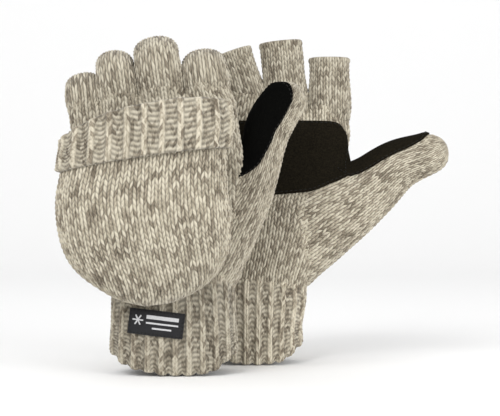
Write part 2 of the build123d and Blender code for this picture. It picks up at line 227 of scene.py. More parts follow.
def ragg_wool(name, brightness):
    """Knitted ragg wool.  It reads the stitch coordinates in UVMap and the height of the yarn in relief, and
    paints shade where the yarn lies low.
    """
    material = bpy.data.materials.new(name)
    tree, principled = nodes_of(material)
    uv = tree.nodes.new("ShaderNodeUVMap")
    uv.uv_map = "UVMap"
    split = tree.nodes.new("ShaderNodeSeparateXYZ")
    tree.links.new(uv.outputs[0], split.inputs[0])
    u, v = split.outputs[0], split.outputs[1]
    beside = calculate(tree, "SUBTRACT", calculate(tree, "FRACT", u), 0.5)
    out = calculate(tree, "ABSOLUTE", beside)
    along = calculate(tree, "SUBTRACT", v, calculate(tree, "MULTIPLY", out, SPLAY))
    leg = calculate(tree, "FLOOR", calculate(tree, "MULTIPLY", u, 2.0))
    # one tone for each leg of a stitch
    each = tree.nodes.new("ShaderNodeTexWhiteNoise")
    tree.links.new(combine(tree, leg, calculate(tree, "FLOOR", along), 0.5), each.inputs["Vector"])
    # streaks that run along the yarn, as its plies twist
    streak = tree.nodes.new("ShaderNodeTexNoise")
    streak.inputs["Scale"].default_value = 1.0
    streak.inputs["Detail"].default_value = 2.0
    twisted = calculate(tree, "ADD", calculate(tree, "MULTIPLY", beside, 9.0),
                        calculate(tree, "MULTIPLY", v, 2.2))
    stretched = calculate(tree, "MULTIPLY", along, 1.3)
    tree.links.new(combine(tree, twisted, stretched, leg), streak.inputs["Vector"])
    # slow drifts of tone over the whole piece
    place = tree.nodes.new("ShaderNodeTexCoord")
    drift = tree.nodes.new("ShaderNodeTexNoise")
    drift.inputs["Scale"].default_value = 90.0
    drift.inputs["Detail"].default_value = 3.0
    tree.links.new(place.outputs["Object"], drift.inputs["Vector"])
    mixed = calculate(tree, "ADD", calculate(tree, "MULTIPLY", each.outputs["Value"], 0.36),
                      calculate(tree, "MULTIPLY", streak.outputs["Fac"], 0.50))
    mixed = calculate(tree, "ADD", mixed, calculate(tree, "MULTIPLY", drift.outputs["Fac"], 0.40))
    ramp = tree.nodes.new("ShaderNodeValToRGB")
    tree.links.new(mixed, ramp.inputs[0])
    while len(ramp.color_ramp.elements) < len(WOOL_TONES):
        ramp.color_ramp.elements.new(0.5)
    for element, (at, tone) in zip(ramp.color_ramp.elements, WOOL_TONES):
        element.position = at
        element.color = (*[brightness * channel for channel in tone], 1)
    # painted shade: the gaps between stitches, where the yarn lies low, are painted darker, down to about a
    # third of the colour
    relief = tree.nodes.new("ShaderNodeAttribute")
    relief.attribute_name = "relief"
    gap = tree.nodes.new("ShaderNodeMapRange")
    gap.inputs["From Min"].default_value = 0.0
    gap.inputs["From Max"].default_value = 0.6
    gap.inputs["To Min"].default_value = 0.36
    gap.inputs["To Max"].default_value = 1.0
    tree.links.new(relief.outputs["Fac"], gap.inputs["Value"])
    shade = tree.nodes.new("ShaderNodeMix")
    shade.data_type = "RGBA"
    shade.blend_type = "MULTIPLY"
    shade.inputs["Factor"].default_value = 1.0
    tree.links.new(ramp.outputs[0], shade.inputs["A"])
    tree.links.new(gap.outputs[0], shade.inputs["B"])
    tree.links.new(shade.outputs["Result"], principled.inputs["Base Color"])
    # loose fibres roughen the yarn
    fibre = tree.nodes.new("ShaderNodeTexNoise")
    fibre.inputs["Scale"].default_value = 1400.0
    fibre.inputs["Detail"].default_value = 3.0
    tree.links.new(place.outputs["Object"], fibre.inputs["Vector"])
    bump = tree.nodes.new("ShaderNodeBump")
    bump.inputs["Strength"].default_value = 0.45
    bump.inputs["Distance"].default_value = 0.0004
    tree.links.new(calculate(tree, "ADD", fibre.outputs["Fac"], streak.outputs["Fac"]), bump.inputs["Height"])
    tree.links.new(bump.outputs[0], principled.inputs["Normal"])
    principled.inputs["Roughness"].default_value = 0.95
    principled.inputs["Specular IOR Level"].default_value = 0.15
    principled.inputs["Sheen Weight"].default_value = 0.25
    principled.inputs["Sheen Roughness"].default_value = 0.5
    return material


def plain_cloth(name, dark, light, roughness, grain, depth, sheen=0.0, shine=0.2):
    """A cloth or suede whose tone wanders between two colours, with a fine grain."""
    material = bpy.data.materials.new(name)
    tree, principled = nodes_of(material)
    place = tree.nodes.new("ShaderNodeTexCoord")
    noise = tree.nodes.new("ShaderNodeTexNoise")
    noise.inputs["Scale"].default_value = grain
    noise.inputs["Detail"].default_value = 6.0
    tree.links.new(place.outputs["Object"], noise.inputs["Vector"])
    ramp = tree.nodes.new("ShaderNodeValToRGB")
    ramp.color_ramp.elements[0].position = 0.35
    ramp.color_ramp.elements[0].color = (*dark, 1)
    ramp.color_ramp.elements[1].position = 0.7
    ramp.color_ramp.elements[1].color = (*light, 1)
    tree.links.new(noise.outputs["Fac"], ramp.inputs[0])
    tree.links.new(ramp.outputs[0], principled.inputs["Base Color"])
    bump = tree.nodes.new("ShaderNodeBump")
    bump.inputs["Strength"].default_value = 0.5
    bump.inputs["Distance"].default_value = depth
    tree.links.new(noise.outputs["Fac"], bump.inputs["Height"])
    tree.links.new(bump.outputs[0], principled.inputs["Normal"])
    principled.inputs["Roughness"].default_value = roughness
    principled.inputs["Specular IOR Level"].default_value = shine
    principled.inputs["Sheen Weight"].default_value = sheen
    return material


WOOL = ragg_wool("ragg_wool", 0.95)
# all one yarn: these brightnesses are painted shade and light, darker on the left glove's hand, thumb,
# fingers and cuff and on the right glove's fingers, lighter on the right cuff, to balance how much of the
# studio light falls on each piece
HAND_WOOL = {"left": ragg_wool("ragg_wool_left_hand_shaded", 0.87), "right": WOOL}
FINGER_WOOL = {"left": HAND_WOOL["left"], "right": ragg_wool("ragg_wool_right_fingers_shaded", 0.84)}
CUFF_WOOL = {"left": ragg_wool("ragg_wool_left_cuff_shaded", 0.80), "right": ragg_wool("ragg_wool_right_cuff_lit", 1.12)}
LINING = plain_cloth("brushed_lining", (0.16, 0.155, 0.145), (0.27, 0.26, 0.245), 0.95, 900.0, 0.0003, 0.3)
# one suede too, shaded apart for the same reason: the right glove's is painted light, set lighter and browner
# than the left's
SUEDE = {
    "left": plain_cloth("suede_black", (0.0015, 0.0015, 0.0015), (0.003, 0.003, 0.0025), 1.0, 1200.0,
                        0.0002, shine=0.03),
    "right": plain_cloth("suede_brown_black_lit", (0.006, 0.005, 0.0032), (0.014, 0.0115, 0.0070), 1.0, 900.0,
                         0.0002, shine=0.05),
}
THREAD = plain_cloth("dark_thread", (0.006, 0.006, 0.005), (0.012, 0.011, 0.009), 0.7, 3000.0, 0.0001)
LABEL_CLOTH = plain_cloth("label_weave", (0.010, 0.010, 0.011), (0.020, 0.020, 0.022), 0.6, 2600.0, 0.0001)
LABEL_PALE = plain_cloth("label_pale_thread", (0.42, 0.42, 0.43), (0.62, 0.62, 0.63), 0.6, 2600.0, 0.0001)


# ------------------------------------------------------------------------------------ knit stitches
# Stockinette is columns of V shapes, each V two legs of yarn.  Rib is columns of raised V's with sunk rungs
# of purl between them.  Heights run from 0 to 1, at a place counted in wales and courses.
COURSE = 3.2  # height of a stitch, mm
PER_WALE = 8  # mesh columns in a stitch
PER_COURSE = 5  # mesh rows in a stitch


def stockinette(wale, course):
    """The yarn's height in a V of plain knit."""
    out = np.abs(wale % 1 - 0.5)
    leg = np.sin(2 * pi * out) ** 0.6
    along = (course - SPLAY * out) % 1
    return leg * (0.12 + 0.88 * np.sin(pi * along) ** 0.7)


def rib(wale, course, period, knit, raised):
    """The yarn's height in a rib, and the form's: knit of a period's wales are a raised column of V's."""
    within = wale % period
    on = within < knit
    across = np.where(on, within / knit, (within - knit) / (period - knit))
    bow = (2 * across - 1) ** 2
    turning = course + 0.35 * bow + 0.25 * np.sin(wale * 2.3)
    rung = (0.34 + 0.27 * np.cos(2 * pi * turning)) * (1 - 0.6 * bow**2)
    centre = np.abs((wale - knit / 2 + period / 2) % period - period / 2)
    ridge = raised * np.exp(-((centre / (0.62 * knit)) ** 4))
    return np.where(on, stockinette(across, course), rung), ridge


def read_grid(grid, row, column):
    """A grid's points at fractional rows and columns; the grid is closed around its columns."""
    rows, columns = grid.shape[:2]
    row = np.clip(row, 0, rows - 1.001)
    r, c = np.floor(row).astype(int), np.floor(column).astype(int)
    a, b = (row - r)[..., None], (column - c)[..., None]
    c0, c1 = c % columns, (c + 1) % columns
    here = grid[r, c0] * (1 - b) + grid[r, c1] * b
    above = grid[r + 1, c0] * (1 - b) + grid[r + 1, c1] * b
    return here * (1 - a) + above * a


def lay_stitches(base, n, courses, seed, ends=(2.0, 2.0)):
    """Draws a form's mesh rows into the zigzag of the stitches, so that each row follows their legs.
    The zigzag fades out over that many courses at either end."""
    rows, columns = base.shape[:2]
    column = np.arange(columns)[None, :]
    fade = ease(0, ends[0] + 1e-6, courses - courses[0]) * ease(0, ends[1] + 1e-6, courses[-1] - courses)
    shift = SPLAY * (np.abs(column / PER_WALE % 1 - 0.5) - 0.25) * fade[:, None]
    row = np.arange(rows)[:, None] + shift / np.gradient(courses)[:, None]
    row = np.clip(row, 0, rows - 1)
    sway = wander(base, seed, 24, 0.9) * fade[:, None]
    place = column + sway
    course = np.interp(row, np.arange(rows), courses)
    tone = stockinette(column / PER_WALE + 0 * row, course)
    return read_grid(base, row, place), read_grid(n, row, place), course, tone


def wander(points, seed, size, amount):
    """A slow uneven swell of a soft surface, a few waves of that size in every direction."""
    rng = np.random.default_rng(seed)
    total = np.zeros(points.shape[:-1])
    for _ in range(7):
        direction = rng.normal(size=3)
        direction /= np.linalg.norm(direction)
        total += np.sin(points @ direction * 2 * pi / (size * rng.uniform(0.7, 1.6)) + rng.uniform(0, 2 * pi))
    return total * amount / 3


def finish_tube(name, side, base, n, height, tone, uv, material, wall, body, ends, pole=False):
    """Adds the yarn's height to a tube and turns its open ends in: ends is how many millimetres of inner
    wall there are behind the (first, last) row, or None where the end is left as it is."""
    outer = base + n * height[..., None]
    rows = [outer]
    tones = [tone]
    courses = [uv[1]]
    for end in (0, 1):
        depth = ends[end]
        if depth is None:
            continue
        edge, step = (0, 1) if end == 0 else (-1, -1)
        beyond = base[edge] - base[edge + step]
        beyond /= np.maximum(np.linalg.norm(beyond, axis=1, keepdims=True), 1e-9)
        rim = [outer[edge] + beyond * 0.7 - n[edge] * wall * 0.25,
               base[edge] + beyond * 1.0 - n[edge] * wall * 0.6,
               base[edge] + beyond * 0.5 - n[edge] * wall]
        distance = np.abs(uv[1][:, 0] - uv[1][edge, 0]) * COURSE
        deep = np.flatnonzero(distance <= depth)[::6]
        if end == 1:
            deep = deep[::-1]
        rim += [base[k] - n[k] * wall for k in deep]
        rim = np.array(rim)
        # the turned-in rows take a middle height, so the painted shade darkens them part way
        flat = np.full(rim.shape[:2], 0.4)
        line = np.concatenate([uv[1][[edge] * 3], uv[1][deep]])
        if end == 0:
            rows.insert(0, rim[::-1])
            tones.insert(0, flat)
            courses.insert(0, line[::-1])
        else:
            rows.append(rim)
            tones.append(flat)
            courses.append(line)
    piece = add_mesh(name, side, np.concatenate(rows), (uv[0], np.concatenate(courses)),
                     np.concatenate(tones), material, pole=pole)
    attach(piece, body)
    return piece


# ------------------------------------------------------------------------------------ the hand's form
# One form runs from the cuff's lower edge to the web between the fingers.  It leans from the wrist up.
# Each row: (height above the wrist, width, back, palm).  Near the web it is drawn in between the fingers.
HAND_FORM = [
    (-56, 80, -18.5, 25.5),
    (-40, 79, -18.6, 26),
    (-22, 78, -18, 25.5),
    (-8, 78, -15.6, 24),
    (6, 80.5, -15, 23.0),
    (26, 88, -15, 23.0),
    (56, 98, -15, 19.0),
    (84, 103, -15, 15.0),
    (107, 104, -14.6, 12.5),
    (126, 104.5, -12.4, 10.0),
]
WEB = 126.0
WEB_DRAWN = 26.0  # how far below the web the grooves between the fingers start
FINGERS = ["pinky", "ring", "middle", "index"]
FINGER_WIDTH = {"pinky": 21.5, "ring": 24.8, "middle": 28.6, "index": 28.0}
FINGER_DEPTH = {"pinky": 18.5, "ring": 20.5, "middle": 21.5, "index": 21.0}
FINGER_X = {
    "left": {"pinky": -41.0, "ring": -19.4, "middle": 8.4, "index": 38.0},
    "right": {"pinky": -42.5, "ring": -19.6, "middle": 7.6, "index": 37.6},
}
FINGER_Y = -1.2
THUMB_SIDE = 2.8  # how far the hand swells where the thumb leaves it


def hand_rows(side, up):
    """The centre of each row of the hand and its direction across the hand."""
    full = gloves[side]["lean"]
    fine = np.linspace(-60, 130, 381)
    bend = full * ease(-26, 16, fine)
    x = np.cumsum(np.sin(bend)) * (fine[1] - fine[0])
    x -= np.interp(HINGE_UP, fine, x) - HINGE_UP * sin(full)
    x -= np.interp(-WRIST_Z, fine, x) * (1 - ease(-60, HINGE_UP, fine))
    z = np.cumsum(np.cos(bend)) * (fine[1] - fine[0])
    z += WRIST_Z + HINGE_UP * cos(full) - np.interp(HINGE_UP, fine, z)
    z -= np.interp(-WRIST_Z, fine, z) * (1 - ease(-60, 0, fine))
    centre = np.stack([np.interp(up, fine, x), 0 * up, np.interp(up, fine, z)], 1)
    lean = full * ease(-26, 16, up)
    across = np.stack([np.cos(lean), 0 * up, -np.sin(lean)], 1)
    return centre, across


def hand_surface(side, up, columns):
    """The hand's form, one row for each height in up."""
    table = np.array(HAND_FORM, float)
    width, back, palm = smooth(up, table[:, 0], table[:, 1:]).T
    outline = sections(width / 2, back, palm, 2.9, columns)
    swell = THUMB_SIDE * ease(45, 75, up) * (1 - ease(108, 122, up))
    outline[..., 0] += swell[:, None] * ease(0, 50, outline[..., 0])
    x, y = outline[..., 0], outline[..., 1]
    middle = ((back + palm) / 2)[:, None]
    lobes = np.full(x.shape, 3.2)
    for name in FINGERS:
        inside = 1 - ((x - FINGER_X[side][name]) / (FINGER_WIDTH[name] / 2 + 0.3)) ** 2
        lobes = np.maximum(lobes, FINGER_DEPTH[name] / 2 * np.sqrt(np.maximum(inside, 0)))
    full = np.abs(y - middle)
    drawn = np.where(full > 1.0, np.minimum(lobes, full), full)
    towards = ease(WEB - WEB_DRAWN, WEB, up)[:, None] ** 1.5
    half = full * (1 - towards) + drawn * towards
    y = middle * (1 - towards) + FINGER_Y * towards + np.sign(y - middle) * half
    centre, across = hand_rows(side, up)
    deep = np.tile([0.0, 1.0, 0.0], (len(up), 1))
    return sweep(np.stack([x, y], -1), centre, across, deep)


# ------------------------------------------------------------------------------------ the thumbs' form
# Each thumb is a tapering tube out of the side of the palm, with a round closed tip.
# Each row: (x, y, z, width, depth) in the glove frame.  The last row is the tip.
THUMB_FORM = {
    "left": [
        (12, 3, 52, 34, 24),
        (25, 3.5, 76, 42, 28),
        (37, 4.5, 97, 39, 28),
        (46.5, 7, 114, 33, 27),
        (54.5, 10, 132, 28, 26),
        (58.5, 12.5, 146, 26.5, 25),
        (61.5, 14.5, 158, 28.5, 24),
        (68, 16, 170, 28, 23),
        (76, 17, 181, 24.5, 21),
        (79.5, 17.5, 186.5, 23, 20),
    ],
    "right": [
        (12, 3, 72, 58, 30),
        (36, 4, 86, 56, 30),
        (58, 7, 101, 50, 29),
        (80, 9, 116.8, 42, 27),
        (102, 11, 134.3, 33, 25),
        (122, 13, 142.5, 27, 23),
        (134.5, 14.5, 149, 24, 20),
    ],
}
THUMB_TIP = {"left": 12.0, "right": 13.0}  # length of the rounded end
THUMB_FILLET = 12.0  # reach of the soft inner corner where the thumb joins the palm


def thumb_surface(side, share, columns):
    """The thumb's form, with a row for each share of its length."""
    table = np.array(THUMB_FORM[side], float)
    gaps = np.linalg.norm(np.diff(table[:, :3], axis=0), axis=1)
    knots = np.concatenate([[0], np.cumsum(gaps)])
    at = share * knots[-1]
    read = smooth(at, knots, table)
    centre = read[:, :3]
    along = np.gradient(smooth(np.linspace(0, knots[-1], 400), knots, table[:, :3]), axis=0)
    along = np.stack([np.interp(at, np.linspace(0, knots[-1], 400), along[:, k]) for k in range(3)], 1)
    along /= np.linalg.norm(along, axis=1, keepdims=True)
    across = np.cross([0.0, 1.0, 0.0], along)
    across /= np.linalg.norm(across, axis=1, keepdims=True)
    deep = np.cross(along, across)
    tip = THUMB_TIP[side]
    into = np.clip((at - (knots[-1] - tip)) / tip, 0, 0.9995)
    rounding = np.sqrt(1 - into**2)
    half_width, half_depth = read[:, 3] / 2 * rounding, read[:, 4] / 2 * rounding
    outline = sections(half_width, -half_depth, half_depth, 2.1, columns)
    return sweep(outline, centre, across, deep), at


def form_tree(points):
    """A search tree of a form's surface, with its faces outward."""
    rows, columns = points.shape[:2]
    faces = []
    for r in range(rows - 1):
        for c in range(columns):
            n = (c + 1) % columns
            faces.append((r * columns + c, r * columns + n, (r + 1) * columns + n, (r + 1) * columns + c))
    return BVHTree.FromPolygons([tuple(p) for p in points.reshape(-1, 3)], faces)


def fillet(points, tree, reach):
    """How far each point is lifted so that two forms meet in a soft inner corner."""
    lift = np.zeros(points.shape[:2])
    for r in range(points.shape[0]):
        for c in range(points.shape[1]):
            near, direction, _, distance = tree.find_nearest(Vector(points[r, c]), reach)
            if near is None:
                continue
            outside = (Vector(points[r, c]) - near).dot(direction)
            distance = distance if outside > 0 else 0.0
            lift[r, c] = (reach - distance) ** 2 / (4 * reach)
    return lift


def spread(coarse, shape):
    """A coarse grid of values, closed around its columns, read at each place of a finer one of that shape."""
    r = np.linspace(0, coarse.shape[0] - 1, shape[0])
    c = np.linspace(0, coarse.shape[1], shape[1], endpoint=False)
    r0, c0 = np.floor(r).astype(int), np.floor(c).astype(int)
    r1, c1 = np.minimum(r0 + 1, coarse.shape[0] - 1), (c0 + 1) % coarse.shape[1]
    c0 = c0 % coarse.shape[1]
    a, b = (r - r0)[:, None], (c - np.floor(c))[None, :]
    top = coarse[r0][:, c0] * (1 - b) + coarse[r0][:, c1] * b
    low = coarse[r1][:, c0] * (1 - b) + coarse[r1][:, c1] * b
    return top * (1 - a) + low * a


FORM_TREES = {}
for side in gloves:
    FORM_TREES[side] = {
        "hand": form_tree(hand_surface(side, np.linspace(-20, WEB, 60), 72)),
        "thumb": form_tree(thumb_surface(side, np.linspace(0.0, 1, 50), 48)[0]),
    }

# ------------------------------------------------------------------------------------ wrist cuffs
# The cuff is knitted in rib, from its cast-on lower edge up to the wrist.  Its edge curves up at the sides
# and is scalloped where each rib ends.
CUFF_WALES = 54
CUFF_INTO = 3.0  # how far the cuff reaches up inside the hand
CUFF_RIB = 2.25  # wales in a rib of the cuff, so that a whole number goes around
CUFF_KNIT = 0.95  # wales of it that are raised
# how far the lower edge rises: (place across the cuff, rise)
CUFF_EDGE = [(-41, 15), (-32, 7), (-23.6, 3.6), (-6.5, 0.4), (7, 0), (22.6, 1.2), (29.5, 4.0), (34, 8),
             (41, 14)]
CUFF_DRAWN = {"left": 0.0, "right": 0.10}  # share by which the cuff narrows towards its edge
SCALLOP = 1.6  # depth of the notches between the ribs' ends
SWELL = 0.5  # unevenness of the hand's form
KNIT_THICK = 2.0  # thickness of the knit at a turned-in end
for side in gloves:
    columns = CUFF_WALES * PER_WALE
    up = np.linspace(-WRIST_Z, CUFF_INTO, int((WRIST_Z + CUFF_INTO) / COURSE * PER_COURSE))
    base = hand_surface(side, up, columns)
    courses = (up + WRIST_Z) / COURSE
    wale = np.arange(columns)[None, :] / PER_WALE + 0 * up[:, None]
    n = normals(base)
    centre, across = hand_rows(side, up)
    beside = ((base - centre[:, None]) * across[:, None]).sum(-1)
    edge = np.array(CUFF_EDGE)
    rise = np.interp(beside, edge[:, 0], edge[:, 1])
    notch = np.abs((wale - CUFF_KNIT / 2 + CUFF_RIB / 2) % CUFF_RIB - CUFF_RIB / 2) / CUFF_RIB * 2
    curved = rise * (1 - ease(-WRIST_Z, -22, up))[:, None]
    scalloped = SCALLOP * notch**3 * (1 - ease(-WRIST_Z, -50, up))[:, None]
    base[..., 2] += 1.0 + curved + scalloped
    base[..., 0] -= beside * CUFF_DRAWN[side] * (1 - ease(-40, -8, up))[:, None]
    tone, step = rib(wale, courses[:, None] + 0 * wale, CUFF_RIB, CUFF_KNIT, 1.0)
    fade = 1 - ease(-14, 2, up)[:, None]
    tucked = 1.2 * ease(0, CUFF_INTO, up)[:, None]
    height = 0.85 * tone + step * fade + wander(base, 3, 60, SWELL) - 0.5 - tucked
    # through the relief, the sunk purl between the ribs gets painted shade
    cuff = finish_tube(side + "_cuff_knit", side, base, n, height, 0.8 * tone + 0.15 * step,
                       (CUFF_WALES, courses[:, None] + 0 * wale), CUFF_WOOL[side], KNIT_THICK + 0.2,
                       side + "_hand", (40, None))
    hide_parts(side + "_wrist_cuff")

# ------------------------------------------------------------------------------------ palms and backs
# The hand is one seamless tube of stockinette up to the web.  The thumb grows out of it in a soft corner.
# Inside it and the cuff lies a brushed lining.
HAND_WALES = 54
LINING_IN = 3.4  # how far the lining lies inside the knit
OUTER = {}  # search trees of each glove's outer forms, hand and thumb, for what is sewn on them
for side in gloves:
    columns = HAND_WALES * PER_WALE
    up = np.linspace(-1, WEB, int((WEB + 1) / COURSE * PER_COURSE))
    base = hand_surface(side, up, columns)
    coarse = fillet(base[::5, ::8], FORM_TREES[side]["thumb"], THUMB_FILLET)
    base += normals(base) * (spread(coarse, base.shape[:2]) * ease(2, 18, up)[:, None])[..., None]
    OUTER[side] = [form_tree(base[::4, ::6])]
    points, n, course, tone = lay_stitches(base, normals(base), up / COURSE, 41)
    height = 0.9 * tone + wander(points, 3, 60, SWELL) - 0.4 - 0.7 * (1 - ease(-1, 2, up))[:, None]
    hand = finish_tube(side + "_hand_knit", side, points, n, height, tone, (HAND_WALES, course),
                       HAND_WOOL[side], KNIT_THICK, side + "_hand", (None, None))
    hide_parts(side + "_hand_shell")
    inner_up = np.linspace(-36, WEB - 3, 60)
    inner = hand_surface(side, inner_up, 96)
    inner -= normals(inner) * LINING_IN
    lining = add_mesh(side + "_hand_lining_cloth", side, inner[:, ::-1], (24, inner_up / COURSE),
                      np.ones(inner.shape[:2]), LINING)
    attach(lining, side + "_hand")
    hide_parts(side + "_hand_lining", side + "_hand_insulation")

# ------------------------------------------------------------------------------------ thumbs
# A closed tube of stockinette that narrows to a round tip, knitted on to the side of the palm.
THUMB_WALES = 32
THUMB_BURIED = 0.06  # share of the thumb's length that stays inside the palm
for side in gloves:
    columns = THUMB_WALES * PER_WALE
    length = thumb_surface(side, np.array([0.0, 1.0]), 8)[1][-1]
    share = np.linspace(THUMB_BURIED, 1, int(length / COURSE * PER_COURSE))
    share = 1 - (1 - share) ** 1.12
    base, at = thumb_surface(side, share, columns)
    coarse = fillet(base[::5, ::8], FORM_TREES[side]["hand"], THUMB_FILLET)
    base += normals(base) * spread(coarse, base.shape[:2])[..., None]
    OUTER[side].append(form_tree(base[::4, ::6]))
    points, n, course, tone = lay_stitches(base, normals(base), at / COURSE, 43, (2.0, 5.0))
    calm = (1 - 0.85 * ease(length - 7, length, at))[:, None]
    height = 0.85 * tone * calm + wander(points, 8, 40, 0.4) * calm - 0.4
    thumb = finish_tube(side + "_thumb_knit", side, points, n, height, tone, (THUMB_WALES, course),
                        HAND_WOOL[side], KNIT_THICK, side + "_hand", (None, None), pole=True)
    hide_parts(side + "_thumb")

# ------------------------------------------------------------------------------------ half-finger tubes
# Single-layer tubes with an open, cast-off end.  The left glove's curl over empty towards the palm, the
# right glove's stand straight.  Each: (sideways lean, straight rise, curl radius, curl, length after it).
FINGER_POSE = {
    "left": {
        "pinky": (-1.0, -1.6, 9.8, 68, 1.5),
        "ring": (-1.0, 7.4, 11.0, 74, 2.0),
        "middle": (-1.0, 11.4, 13.0, 72, 2.0),
        "index": (-1.5, 0.4, 11.5, 74, 2.0),
    },
    "right": {
        "pinky": (-34.0, 14.0, 0, 0, 0),
        "ring": (-27.5, 31.0, 0, 0, 0),
        "middle": (-14.5, 40.0, 0, 0, 0),
        "index": (-8.5, 33.0, 0, 0, 0),
    },
}
FINGER_ROOT = 9.0  # how far a tube reaches down inside the hand
FINGER_WALE = 3.7  # width of a finger's stitch
FINGER_FLARE = 1.6  # how far a tube widens on each side towards its foot


def finger_surface(side, name, at, columns):
    """A finger tube's form, with a row for each distance along it."""
    side_lean, rise, radius, curl, _ = FINGER_POSE[side][name]
    lean = gloves[side]["lean"]
    tilt = lean + radians(side_lean)
    centre, across = hand_rows(side, np.array([WEB]))
    root = centre[0] + across[0] * FINGER_X[side][name] + np.array([0, FINGER_Y, 0])
    axis = np.array([sin(tilt), 0, cos(tilt)])
    beside = np.array([cos(tilt), 0, -sin(tilt)])
    palmward = np.array([0, 1.0, 0])
    bent = radians(curl)
    arc = radius * bent
    t = np.clip((at - rise) / max(radius, 1), 0, bent) if radius else 0 * at
    past = np.maximum(at - rise - arc, 0) if radius else np.maximum(at - rise, 0)
    straight = np.minimum(at, rise)
    points = root + straight[:, None] * axis
    points = points + radius * (np.sin(t)[:, None] * axis + (1 - np.cos(t))[:, None] * palmward)
    ahead = np.cos(t)[:, None] * axis + np.sin(t)[:, None] * palmward
    points = points + past[:, None] * ahead
    deep = np.cos(t)[:, None] * palmward - np.sin(t)[:, None] * axis
    swell = 1 + 0.025 * np.sin(np.clip(at / (rise + arc + 4), 0, 1) * pi)
    swell = swell * (1 - 0.10 * ease(0, -FINGER_ROOT, at))
    half = FINGER_WIDTH[name] / 2 * swell + FINGER_FLARE * (1 - ease(0, 22, at))
    depth = FINGER_DEPTH[name] / 2 * swell
    return sweep(sections(half, -depth, depth, 2.25, columns), points, np.tile(beside, (len(at), 1)), deep)


for side in gloves:
    for number, name in enumerate(FINGERS):
        _, rise, radius, curl, rest = FINGER_POSE[side][name]
        length = rise + radius * radians(curl) + rest
        wales = round(pi * (FINGER_WIDTH[name] + FINGER_DEPTH[name]) / 2 / FINGER_WALE)
        at = np.linspace(-FINGER_ROOT, length, int((length + FINGER_ROOT) / COURSE * PER_COURSE))
        base = finger_surface(side, name, at, wales * PER_WALE)
        points, n, course, tone = lay_stitches(base, normals(base), at / COURSE, 51 + number, (1.0, 1.2))
        edge = ease(length - 4, length - 1, at)[:, None]
        height = 0.8 * tone + 0.5 * edge + wander(points, 11 + number, 30, 0.4) - 0.8
        finger = finish_tube(f"{side}_{name}_knit", side, points, n, height, tone, (wales, course),
                             FINGER_WOOL[side], KNIT_THICK, side + "_hand",
                             (None, length + FINGER_ROOT - 1))
        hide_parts(f"{side}_{name}_finger")

# ------------------------------------------------------------------------------------ the caps' form
# The cap is a soft pouch that hangs from its seam with its tip down; its mouth is at the top.
# Each row: (distance from the seam, middle, width, inner face, outer face), out from the hinge plane.
CAP_FORM = [
    (0, -1.0, 99.5, -1.9, 31.0),
    (8, -1.6, 100, -1.9, 32.5),
    (22, -3.6, 100.5, -1.9, 35.0),
    (31, -5.4, 101.2, -1.9, 36.5),
    (42, -8.2, 105, -1.9, 37.5),
    (53, -10.0, 107.3, -1.9, 37.5),
    (64, -10.7, 107.3, -1.9, 37.0),
    (76, -10.5, 102.7, -1.7, 35.0),
    (89, -9.2, 92, -1.0, 31.0),
    (100, -8.2, 74.5, 0.0, 26.0),
    (107, -8.0, 58, 1.0, 21.5),
    (112.5, -8.4, 38, 2.0, 17.0),
    (116, -9.0, 18, 3.0, 13.0),
]
CAP_END = CAP_FORM[-1][0]
CAP_SQUARE = 2.7  # how square the cap's cross section is
FRONT_UP = 4.6  # how much higher the front's knit sits than the back's
# how far the mouth's front stands above a straight line across it, along the cap's width
MOUTH_DOME = [(-54, -16), (-51, -13.5), (-43, -9.0), (-32, -5.2), (-24, -2.9), (-8, -0.6), (9, 0.5),
              (20, 0.7), (36, -0.9), (46, -2.7), (51, -8), (54, -11)]


def cap_surface(side, u, columns, lift=0.0):
    """The cap's form, a row for each distance from the seam; lift makes it that much larger all round."""
    table = np.array(CAP_FORM, float)
    middle, width, low, high = smooth(np.clip(u, 0, CAP_END), table[:, 0], table[:, 1:]).T
    widest = table[:, 2].max() / 2
    even = sections(np.array([widest]), np.array([-19.5]), np.array([19.5]), CAP_SQUARE, columns)[0]
    half = (width / 2 + lift)[:, None]
    t, full = np.abs(even[:, 0]) / half, widest / half
    # the middle columns keep their spacing as the cap narrows, and the outer ones crowd towards its edge
    share = t / (1 + t**8) ** 0.125 * (1 + full**8) ** 0.125 / full
    share = np.clip(share, 0, 1)
    x = half * share * np.sign(even[:, 0])
    bulge = (1 - share**CAP_SQUARE) ** (1 / CAP_SQUARE) * np.sign(even[:, 1])
    v = ((low + high) / 2)[:, None] + bulge * ((high - low) / 2 + lift)[:, None]
    lean = gloves[side]["lean"]
    up_x, up_z = sin(lean), cos(lean)
    front = ease(3, 14, v)
    dome = np.array(MOUTH_DOME, float)
    shift = x + middle[:, None]
    fading = (1 - 0.85 * ease(0, 34, u) - 0.15 * ease(34, 60, u))[:, None]
    risen = np.interp(shift, dome[:, 0], dome[:, 1]) * fading
    risen = (risen + FRONT_UP * (1 - ease(25, 85, u))[:, None]) * front
    above = HINGE_UP - u[:, None] + risen
    points = np.empty((*x.shape, 3))
    points[..., 0] = above * up_x + shift * cos(lean)
    points[..., 1] = HINGE_Y - v
    points[..., 2] = WRIST_Z + above * up_z - shift * sin(lean)
    return points


